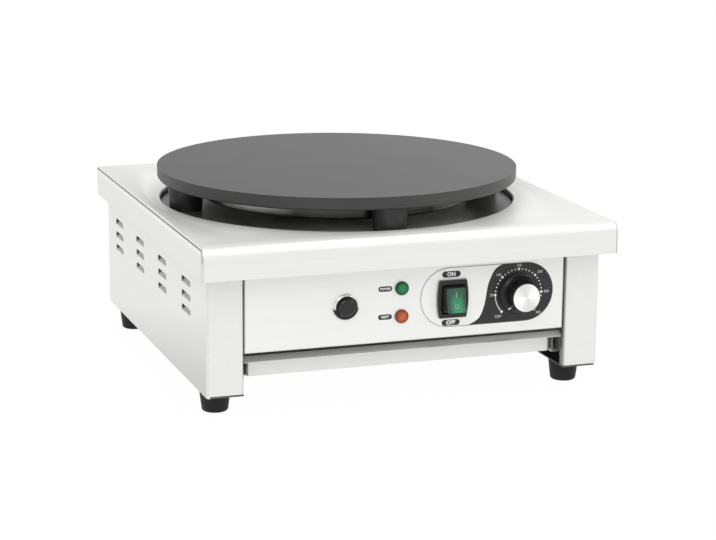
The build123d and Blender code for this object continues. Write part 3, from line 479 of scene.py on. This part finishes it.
film_low, film_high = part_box("legend_plate")
film_face = film_low[1]
film_length = (film_high[0] - film_low[0]) / MM
film_height = (film_high[2] - film_low[2]) / MM
film_x, _, film_z = middle("legend_plate")
dial_x, _, dial_z = middle("knob_cap")
switch_x = middle("switch_bezel")[0]
panel_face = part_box("control_panel")[0][1]
panel_depth = (film_face - panel_face) / MM     # of the panel's face behind the film's
into_panel = Vector((0.0, 1.0, 0.0))
before_panel = -260.0                           # a place in front of all the controls
standing = Matrix.Rotation(math.radians(90), 4, "X")

# How far each layer of print is lifted off the film, in millimetres
area_lift, line_lift, mark_lift, word_lift, dot_lift = 0.05, 0.06, 0.10, 0.12, 0.13
moulding_lift = 0.08


# ------------------------------------------------------------------------------ prints
def keep(name, mesh, material, body):
    """Adds a finished mesh to the scene as a piece that moves with a body."""
    mesh.materials.clear()
    mesh.materials.append(material)
    piece = bpy.data.objects.new(name, mesh)
    bpy.context.scene.collection.objects.link(piece)
    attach(piece, body)
    return piece


def mesh_from(name, shape):
    """Turns an edited shape into a mesh and frees it."""
    mesh = bpy.data.meshes.new(name)
    shape.to_mesh(mesh)
    shape.free()
    return mesh


def printed(name, outlines, lift, material):
    """Flat print on the panel: outlines of (x, z) in millimetres, lifted off the film."""
    shape = bmesh.new()
    for outline in outlines:
        corners = [shape.verts.new((x * MM, film_face - lift * MM, z * MM)) for x, z in outline]
        face = shape.faces.new(corners)
        face.normal_update()
        if face.normal.y > 0:
            face.normal_flip()
    bmesh.ops.triangulate(shape, faces=shape.faces[:])
    return keep(name, mesh_from(name, shape), material, "base")


def stadium(x, z, length, height, steps=24):
    """Outline of a bar with round ends."""
    radius = height / 2
    reach = length / 2 - radius
    turns = [math.pi * step / steps for step in range(steps + 1)]
    right = [(x + reach + radius * math.sin(t), z + radius * math.cos(t)) for t in turns]
    left = [(x - reach - radius * math.sin(t), z - radius * math.cos(t)) for t in turns]
    return right + left


def band(outer, inner):
    """Quads between two outlines with as many points."""
    pairs = list(zip(outer, inner))
    return [[a, c, d, b] for (a, b), (c, d) in zip(pairs, pairs[1:] + pairs[:1])]


def on_dial(radius, degrees):
    """A place round the dial's middle, clockwise from its top."""
    turn = math.radians(degrees)
    return dial_x + radius * math.sin(turn), dial_z + radius * math.cos(turn)


def dial_arc(radius, start, end, steps=40):
    """Points along an arc round the dial."""
    return [on_dial(radius, start + (end - start) * n / steps) for n in range(steps + 1)]


def smooth(points, steps=8):
    """Points on a smooth line through the given ones."""
    line = []
    ends = [points[0], *points, points[-1]]
    for before, here, after, beyond in zip(ends, ends[1:], ends[2:], ends[3:]):
        for step in range(steps):
            t = step / steps
            line.append(
                tuple(
                    0.5
                    * (
                        2 * here[k]
                        + (after[k] - before[k]) * t
                        + (2 * before[k] - 5 * here[k] + 4 * after[k] - beyond[k]) * t**2
                        + (3 * here[k] - before[k] - 3 * after[k] + beyond[k]) * t**3
                    )
                    for k in (0, 1)
                )
            )
    return line + [points[-1]]


capital_height = 0.69           # of the built-in letters, as a share of their size


def lettering(name, labels, lift, material, bold):
    """Words and numbers on the film: (text, x, z, height of the letters) in millimetres."""
    pile = bmesh.new()
    for text, x, z, height in labels:
        curve = bpy.data.curves.new(name, "FONT")
        curve.body, curve.size = text, height * MM / capital_height
        curve.align_x, curve.align_y = "CENTER", "CENTER"
        curve.offset = bold * MM
        curve.resolution_u = 4
        source = bpy.data.objects.new(name, curve)
        bpy.context.scene.collection.objects.link(source)
        bpy.context.view_layer.update()
        flat = bpy.data.meshes.new_from_object(source)
        seat = Matrix.Translation((x * MM, film_face - lift * MM, z * MM))
        flat.transform(seat @ standing)
        pile.from_mesh(flat)
        bpy.data.objects.remove(source)
        bpy.data.curves.remove(curve)
        bpy.data.meshes.remove(flat)
    return keep(name, mesh_from(name, pile), material, "base")


def cast_print(name, base, points, faces, heading, lift, material, body):
    """Print that follows another piece: each point is cast on to it and lifted off."""
    surface = BVHTree.FromPolygons(
        [v.co[:] for v in base.data.vertices], [p.vertices[:] for p in base.data.polygons]
    )
    seats = [surface.ray_cast(Vector(point) * MM, heading)[0] for point in points]
    mesh = bpy.data.meshes.new(name)
    mesh.from_pydata([seat - heading * lift * MM for seat in seats], [], faces)
    mesh.update()
    return keep(name, mesh, material, body)


def patch(across, along):
    """Faces of a grid of points."""
    return [
        (row * across + n, row * across + n + 1, (row + 1) * across + n + 1, (row + 1) * across + n)
        for row in range(along - 1)
        for n in range(across - 1)
    ]


# ----------------------------------------------------------------------- grown pieces
def grow(name, maker, inputs, material, body, place):
    """Runs a node tree of the given maker with its inputs and keeps the plain mesh."""
    tree = bpy.data.node_groups.new(name, "GeometryNodeTree")
    for label, value in inputs.items():
        kind = "NodeSocketInt" if isinstance(value, int) else "NodeSocketFloat"
        tree.interface.new_socket(label, in_out="INPUT", socket_type=kind)
    tree.interface.new_socket("Geometry", in_out="OUTPUT", socket_type="NodeSocketGeometry")
    entry = tree.nodes.new("NodeGroupInput")
    leave = tree.nodes.new("NodeGroupOutput")

    def node(kind, settings=None, **values):
        named = {label.replace("_", " "): value for label, value in values.items()}
        return add_node(tree, kind, settings, named).outputs[0]

    grown = maker(node, entry.outputs)
    real = node("GeometryNodeRealizeInstances", Geometry=grown)
    painted = node("GeometryNodeSetMaterial", Geometry=real, Material=material)
    tree.links.new(painted, leave.inputs[0])
    carrier = bpy.data.objects.new(name, bpy.data.meshes.new(name))
    bpy.context.scene.collection.objects.link(carrier)
    modifier = carrier.modifiers.new("grow", "NODES")
    modifier.node_group = tree
    for item in tree.interface.items_tree:
        if item.in_out == "INPUT":
            modifier[item.identifier] = inputs[item.name]
    bpy.context.view_layer.update()
    seen = carrier.evaluated_get(bpy.context.evaluated_depsgraph_get())
    mesh = bpy.data.meshes.new_from_object(seen)
    carrier.modifiers.remove(modifier)
    bpy.data.objects.remove(carrier)
    mesh.transform(place)
    mesh.name = name
    return keep(name, mesh, material, body)


def dot_arc(node, inputs):
    """Round dots, evenly spaced along an arc."""
    arc = node(
        "GeometryNodeCurveArc",
        {"mode": "RADIUS"},
        Resolution=inputs["Dots"],
        Radius=inputs["Radius"],
        Start_Angle=inputs["Start"],
        Sweep_Angle=inputs["Sweep"],
    )
    spots = node("GeometryNodeCurveToPoints", {"mode": "EVALUATED"}, Curve=arc)
    dot = node(
        "GeometryNodeMeshCircle",
        {"fill_type": "NGON"},
        Vertices=16,
        Radius=inputs["Dot radius"],
    )
    return node("GeometryNodeInstanceOnPoints", Points=spots, Instance=dot)


def screw_rows(node, inputs):
    """Domed screws with a cross recess, in two upright rows."""
    flatness = 0.45
    recess_size, recess_height = (0.0046, 0.0009, 0.0016), 0.0019
    grid = node(
        "GeometryNodeMeshGrid",
        Size_X=inputs["Between rows"],
        Size_Y=inputs["Row length"],
        Vertices_X=2,
        Vertices_Y=inputs["In a row"],
    )
    ball = node(
        "GeometryNodeMeshUVSphere", Segments=32, Rings=24, Radius=inputs["Head radius"]
    )
    head = node("GeometryNodeTransform", Geometry=ball, Scale=(1.0, 1.0, flatness))
    for turn in (0.0, math.pi / 2):
        bar = node("GeometryNodeMeshCube", Size=recess_size)
        turned = node(
            "GeometryNodeTransform",
            Geometry=bar,
            Translation=(0.0, 0.0, recess_height),
            Rotation=(0.0, 0.0, turn),
        )
        head = node(
            "GeometryNodeMeshBoolean", {"operation": "DIFFERENCE"}, Mesh_1=head, Mesh_2=turned
        )
    return node("GeometryNodeInstanceOnPoints", Points=grid, Instance=head)


# ---------------------------------------------------------------- print on the legend
# A thin line along the rim, and the black end behind the dial with its waved edge
line_inset, line_width = 0.3, 0.6
wave = smooth(
    [
        (106.0, film_z + film_height / 2 - line_inset),
        (101.6, 141.0),
        (95.8, 136.6),
        (91.3, 128.3),
        (88.6, 121.0),
        (87.0, 112.0),
        (84.5, 98.8),
        (78.8, 86.3),
        (67.0, 79.9),
        (60.0, film_z - film_height / 2 + line_inset),
    ]
)
rim, inner_rim = (
    stadium(film_x, film_z, film_length - 2 * inset, film_height - 2 * inset)
    for inset in (line_inset, line_inset + line_width)
)
right_end = [point for point in rim if point[0] > film_x]
printed("legend_black_area", [wave + right_end[::-1]], area_lift, print_black)
printed("legend_outline", band(rim, inner_rim), line_lift, print_line)

# The dial: an arc from OFF to the first number, a fine and a coarse row of dots, numbers
dot_circle, arc_width = 26.2, 0.8
dots_start = -45.0              # the rows run from the lower right, against the clock
outer_arc = dial_arc(dot_circle + arc_width / 2, 228, 267)
inner_arc = dial_arc(dot_circle - arc_width / 2, 267, 228)
printed("dial_off_arc", [outer_arc + inner_arc], mark_lift, print_white)
for name, dots, sweep, dot_radius, lift in (
    ("dial_fine_dots", 26, 225.0, 0.74, mark_lift),
    ("dial_main_dots", 7, 270.0, 1.35, dot_lift),
):
    grow(
        name,
        dot_arc,
        {
            "Dots": dots,
            "Radius": dot_circle * MM,
            "Start": math.radians(dots_start),
            "Sweep": math.radians(sweep),
            "Dot radius": dot_radius * MM,
        },
        print_white,
        "base",
        Matrix.Translation((dial_x * MM, film_face - lift * MM, dial_z * MM)) @ standing,
    )
marks = [
    (text, *on_dial(radius, degrees), letter_height)
    for text, radius, degrees, letter_height in (
        ("OFF", 32.6, -136, 2.9),
        ("50", 30.2, -90, 2.7),
        ("100", 31.4, -47, 2.7),
        ("150", 29.9, 0, 2.7),
        ("200", 32.4, 48, 2.7),
        ("250", 31.8, 90, 2.7),
        ("300", 32.0, 134, 2.7),
    )
]
lettering("dial_numbers", marks, word_lift, print_pale, 0.05)

# Words on black pills above and below the switch and beside the lamps
on_x, off_x = switch_x - 1.4, switch_x - 1.3
switch_pills = [stadium(on_x, 135.5, 20.6, 6.7), stadium(off_x, 83.9, 20.2, 6.4)]
switch_words = [("ON", on_x, 135.4, 4.0), ("OFF", off_x, 83.8, 4.0)]
printed("switch_pills", switch_pills, line_lift, print_black)
lettering("switch_words", switch_words, word_lift, print_white, 0.25)
for color_name, word, letter_height in (("green", "POWER", 2.3), ("orange", "HEAT", 2.5)):
    lens_name = "lamp_lens_" + color_name
    label_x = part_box(lens_name)[0][0] / MM - 10.7
    label_z = middle(lens_name)[2] + 0.4
    pill = stadium(label_x, label_z, 15.1, 5.6)
    label = (word, label_x, label_z, letter_height)
    printed("lamp_label_" + color_name, [pill], panel_depth + area_lift, print_black)
    lettering("lamp_word_" + color_name, [label], panel_depth + word_lift, print_white, 0.10)

# ------------------------------------------------------- lit window of the rocker
rocker_tilt = math.radians(8.0)
hollow_radius = 39.86           # of the rocker's face
hollow_rise = 8.4               # middle of the rocker's face in front of the panel
window_size = (20.4, 5.0, 25.6)
window_bevel = 0.9
window_drop = 1.2               # below the middle of the rocker
window_proud = 1.9              # in front of the rocker's face
window_lean = 0.11              # it stands out less at its top, by this slope


def on_rocker(across, depth, up):
    """A place on the rocker, from its middle, behind its face and along it."""
    bow = hollow_radius - math.sqrt(hollow_radius**2 - up**2)
    up -= window_drop
    depth -= hollow_rise + bow + window_proud - window_lean * up
    return Vector(
        (
            (switch_x + across) * MM,
            panel_face + (depth * math.cos(rocker_tilt) + up * math.sin(rocker_tilt)) * MM,
            (dial_z - depth * math.sin(rocker_tilt) + up * math.cos(rocker_tilt)) * MM,
        )
    )


def window_block():
    """A translucent block with rounded edges that follows the hollow of the rocker."""
    block = bmesh.new()
    bmesh.ops.create_cube(block, size=1.0)
    for vert in block.verts:
        vert.co = Vector([c * size for c, size in zip(vert.co, window_size)])
    bmesh.ops.bevel(
        block, geom=block.edges[:], offset=window_bevel, segments=3, affect="EDGES", profile=0.5
    )
    tall = [e for e in block.edges if abs(e.verts[0].co.z - e.verts[1].co.z) > 10]
    bmesh.ops.subdivide_edges(block, edges=tall, cuts=9, use_grid_fill=True)
    for vert in block.verts:
        vert.co = on_rocker(*vert.co)
    bmesh.ops.recalc_face_normals(block, faces=block.faces)
    mesh = mesh_from("rocker_window_lens", block)
    mesh.shade_smooth()
    return mesh


def window_green(name):
    """Green plastic with a painted glow in its lower middle, fading to painted shade towards its
    top.
    """
    green = Finish(name, (0.03, 0.16, 0.09), Roughness=0.2, Specular_IOR_Level=0.4)
    x, _, z = green.axes()
    # painted glow in the lower middle, fading to painted shade at the top
    glow = abs(x - (switch_x + 0.5) * MM).ramp(0.0035, 0.0085, 1.0, 0.0)
    glow = glow * z.ramp((dial_z - 1.0) * MM, (dial_z + 7.5) * MM, 1.0, 0.15)
    glow = glow * (green.noise(420.0, 3.0) * 0.8 + 0.5)
    green.feed("Base Color", green.blend(glow, (0.028, 0.066, 0.050), (0.036, 0.26, 0.125)))
    green.feed("Roughness", green.noise(250.0) * 0.1 + 0.15)
    return green.bump(green.noise(500.0), 0.00006).material


window_lens = keep("rocker_window_lens", window_block(), window_green("window_green"), "rocker")
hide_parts("rocker_window")

bar_points = [
    (switch_x + across, before_panel, dial_z + up)
    for up in (3.4, 4.8, 6.2, 7.6, 9.0)
    for across in (-0.6, 0.6)
]
ring_steps = 36
ring_points = [
    (
        switch_x + radius * math.sin(math.tau * n / ring_steps),
        before_panel,
        dial_z - 5.4 + radius * math.cos(math.tau * n / ring_steps),
    )
    for radius in (2.3, 1.5)
    for n in range(ring_steps)
]
ring_faces = [
    (n, (n + 1) % ring_steps, ring_steps + (n + 1) % ring_steps, ring_steps + n)
    for n in range(ring_steps)
]
for name, points, faces in (
    ("rocker_on_mark", bar_points, patch(2, 5)),
    ("rocker_off_mark", ring_points, ring_faces),
):
    cast_print(
        name, window_lens, points, faces, into_panel, moulding_lift, rocker_print, "rocker"
    )

# --------------------------------------------------------------- pointer of the knob
pointer = math.radians(218)
outward = Vector((math.sin(pointer), 0.0, math.cos(pointer)))
crossways = Vector((math.cos(pointer), 0.0, -math.sin(pointer)))
hub = Vector((dial_x, 0.0, dial_z))
line_half_width = 0.75
barrel_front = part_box("knob")[0][1] / MM
beyond_knob = 40.0
on_flare = [(radius, before_panel) for radius in (17.2, 18.2, 19.2, 20.2)]
on_barrel = [(beyond_knob, barrel_front + depth) for depth in (1.4, 2.6, 3.8, 5.0)]
for name, rows, heading in (
    ("knob_pointer_on_flare", on_flare, into_panel),
    ("knob_pointer_on_barrel", on_barrel, -outward),
):
    points = [
        hub + outward * radius + crossways * across + Vector((0, y, 0))
        for radius, y in rows
        for across in (-line_half_width, 0.0, line_half_width)
    ]
    cast_print(
        name, nodes["knob"], points, patch(3, 4), heading, mark_lift, print_white, "knob"
    )

# ---------------------------------------------------------- screws of the rear panel
screw_inset, screw_row_height = 0.010, 0.118
grow(
    "rear_screws",
    screw_rows,
    {
        "Between rows": 2 * (side_box[1][0] - screw_inset),
        "Row length": 0.080,
        "In a row": 3,
        "Head radius": 0.0038,
    },
    brushed_steel("screw_steel", UPWARDS, 0.70, 0.25, 1.0),
    "base",
    Matrix.Translation((0.0, side_box[1][1] - 0.0002, screw_row_height))
    @ Matrix.Rotation(math.radians(-90), 4, "X"),
)


# ------------------------------------------------------------------------------ studio
floor_gap = 0.0003              # from the floor to the feet
floor_glow = 0.985              # share of plain white in what the camera sees of the floor


def make_world():
    """White where the camera or glass looks past the object, plain light from above."""
    world = bpy.data.worlds.new("studio")
    bpy.context.scene.world = world
    world.use_nodes = True
    tree = world.node_tree
    rays = add_node(tree, "ShaderNodeLightPath").outputs
    seen = Value(tree, rays["Is Camera Ray"]).at_least(rays["Is Transmission Ray"])
    heading = add_node(tree, "ShaderNodeTexCoord").outputs["Generated"]
    parts = add_node(tree, "ShaderNodeSeparateXYZ", values=[heading])
    overhead = Value(tree, parts.outputs["Z"]).ramp(0.0, 0.6, 0.86, 1.00)
    strength = add_node(tree, "ShaderNodeMix", values={"Factor": seen, 2: overhead, 3: 1.0})
    background = tree.nodes["Background"]
    tree.links.new(strength.outputs[0], background.inputs["Strength"])
    background.inputs["Color"].default_value = (1, 1, 1, 1)


def make_floor():
    """Pale floor that shows as the white background and keeps the object's shadow."""
    bpy.ops.mesh.primitive_plane_add(size=30.0, location=(0, 0, -floor_gap))
    floor = bpy.context.object
    floor.name = "studio_floor"
    white = Finish("studio_floor_white", (0.80, 0.80, 0.80), Roughness=0.9)
    glow = white.node("ShaderNodeEmission", values={"Color": (1, 1, 1, 1), "Strength": 1.0})
    rays = white.node("ShaderNodeLightPath").outputs
    shown = Value(white.tree, rays["Is Camera Ray"]).at_least(rays["Is Glossy Ray"])
    mix = white.node(
        "ShaderNodeMixShader",
        values=[shown * floor_glow, white.shader.outputs[0], glow.outputs[0]],
    )
    output = white.tree.nodes["Material Output"]
    white.tree.links.new(mix.outputs[0], output.inputs["Surface"])
    floor.data.materials.append(white.material)


def make_lamps():
    """Three soft square lamps that face the middle of the object."""
    target = Vector((0, 0, 0.1))
    for name, place, size, power in (
        ("key_lamp", (-1.6, -2.4, 2.6), 1.8, 30.0),
        ("fill_lamp", (2.4, -1.6, 1.8), 1.8, 12.0),
        ("top_lamp", (0.1, -0.6, 2.8), 2.2, 16.0),
    ):
        data = bpy.data.lights.new(name, "AREA")
        data.shape, data.size, data.energy = "SQUARE", size, power
        lamp = bpy.data.objects.new(name, data)
        bpy.context.scene.collection.objects.link(lamp)
        aim = (target - Vector(place)).to_track_quat("-Z", "Y")
        lamp.matrix_world = Matrix.Translation(place) @ aim.to_matrix().to_4x4()


make_world()
make_floor()
make_lamps()
